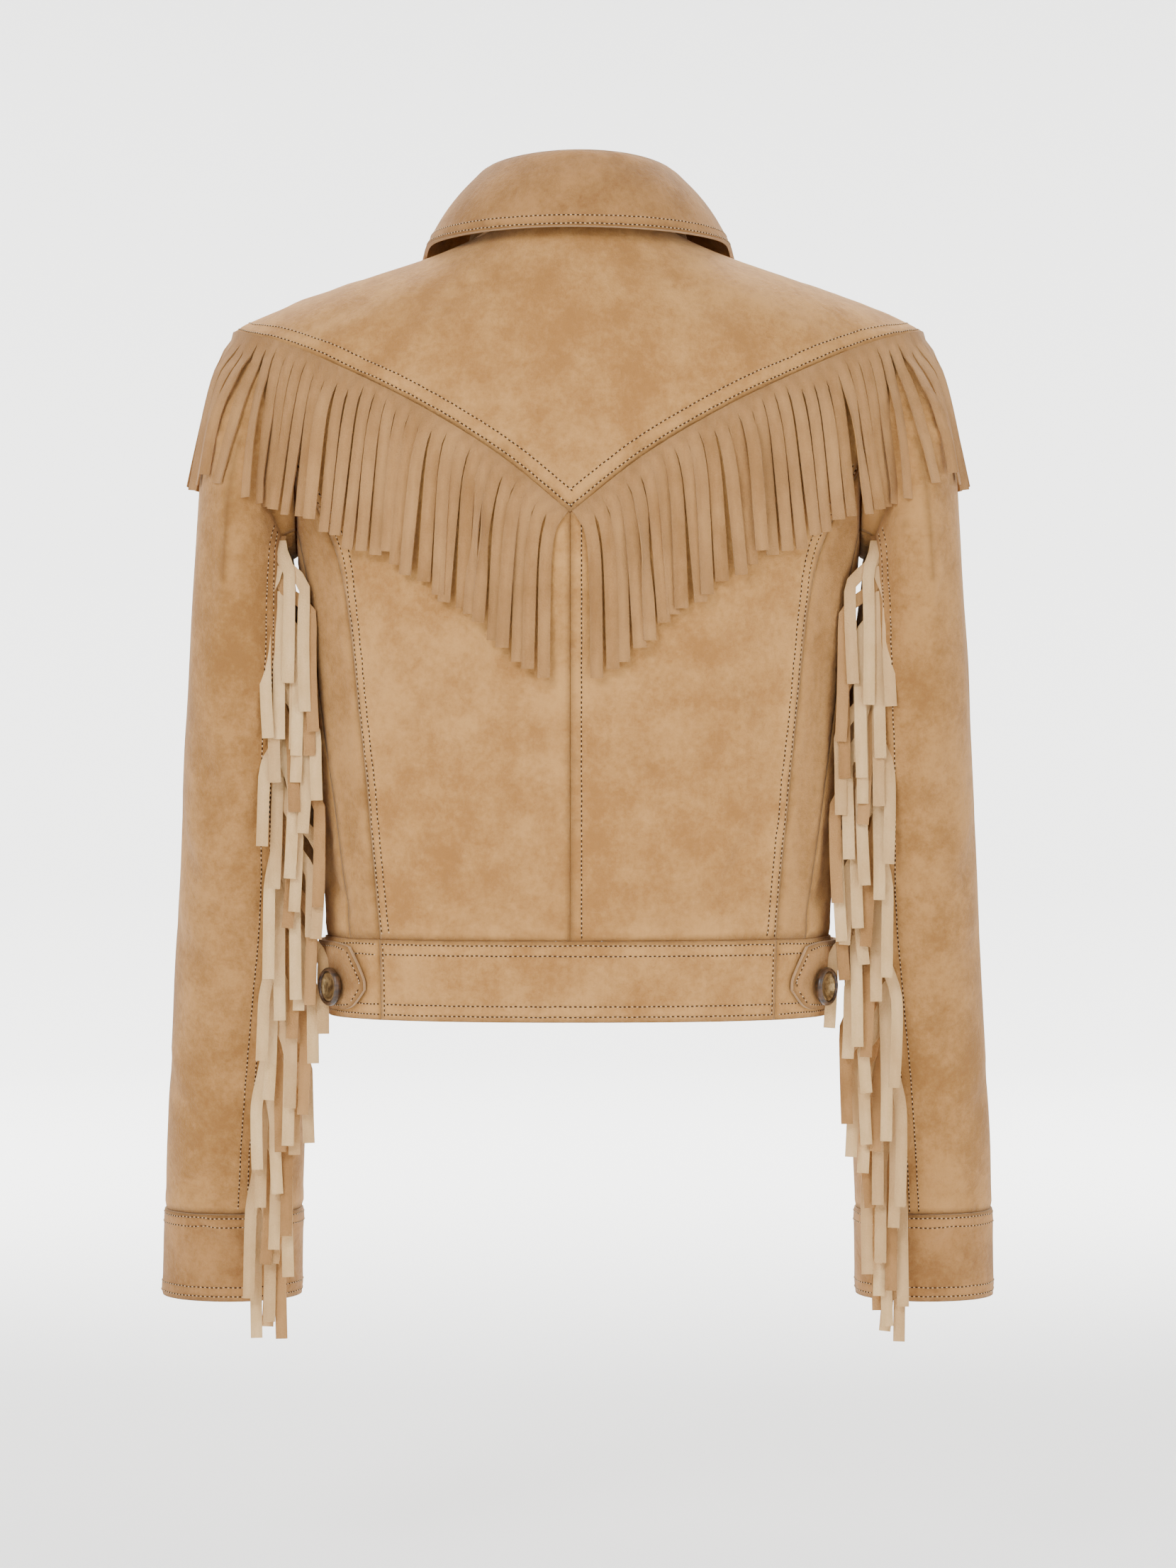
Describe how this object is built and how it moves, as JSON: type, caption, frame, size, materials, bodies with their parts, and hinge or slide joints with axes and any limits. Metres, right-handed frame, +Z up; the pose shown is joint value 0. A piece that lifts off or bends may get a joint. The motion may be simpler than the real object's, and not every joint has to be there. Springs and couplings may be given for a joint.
{
  "type": "suede jacket",
  "caption": "Cropped tan suede jacket with a pointed back yoke, cut fringe on yokes and sleeves, turned-down collar, waistband with side tabs and cuffs; filled out, no wearer.",
  "frame": {"origin": "middle of the neck, at the height where the shoulder seams meet the collar; the wearer's neck and shoulders hold the jacket up there", "axes": "+Z up, +Y to the wearer's back, -Y to the front with the buttons, +X to the wearer's left"},
  "size_m": [0.528, 0.2414, 0.7066],
  "materials": {
    "body suede": "matte",
    "sleeve suede": "matte",
    "trim suede": "matte",
    "fringe suede": "matte",
    "button metal": "satin"
  },
  "bodies": {
    "root": {"back_centre_left": "body suede", "back_centre_right": "body suede", "back_fringe_left": "fringe suede", "back_fringe_right": "fringe suede", "back_side_left": "body suede", "back_side_right": "body suede", "back_yoke": "body suede", "collar_fall": "trim suede", "collar_stand": "trim suede", "cuff_left": "sleeve suede", "cuff_right": "sleeve suede", "front_button_1": "button metal", "front_button_2": "button metal", "front_button_3": "button metal", "front_button_4": "button metal", "front_button_5": "button metal", "front_button_6": "button metal", "front_fringe_left": "fringe suede", "front_fringe_right": "fringe suede", "front_left": "body suede", "front_right": "body suede", "front_yoke_left": "body suede", "front_yoke_right": "body suede", "placket": "body suede", "side_tab_left": "trim suede", "side_tab_right": "trim suede", "sleeve_fringe_left": "fringe suede", "sleeve_fringe_right": "fringe suede", "sleeve_under_left": "sleeve suede", "sleeve_under_right": "sleeve suede", "sleeve_upper_left": "sleeve suede", "sleeve_upper_right": "sleeve suede", "tab_button_left": "button metal", "tab_button_right": "button metal", "waistband_back": "body suede", "waistband_front_left": "body suede", "waistband_front_right": "body suede"}
  },
  "joints": []
}
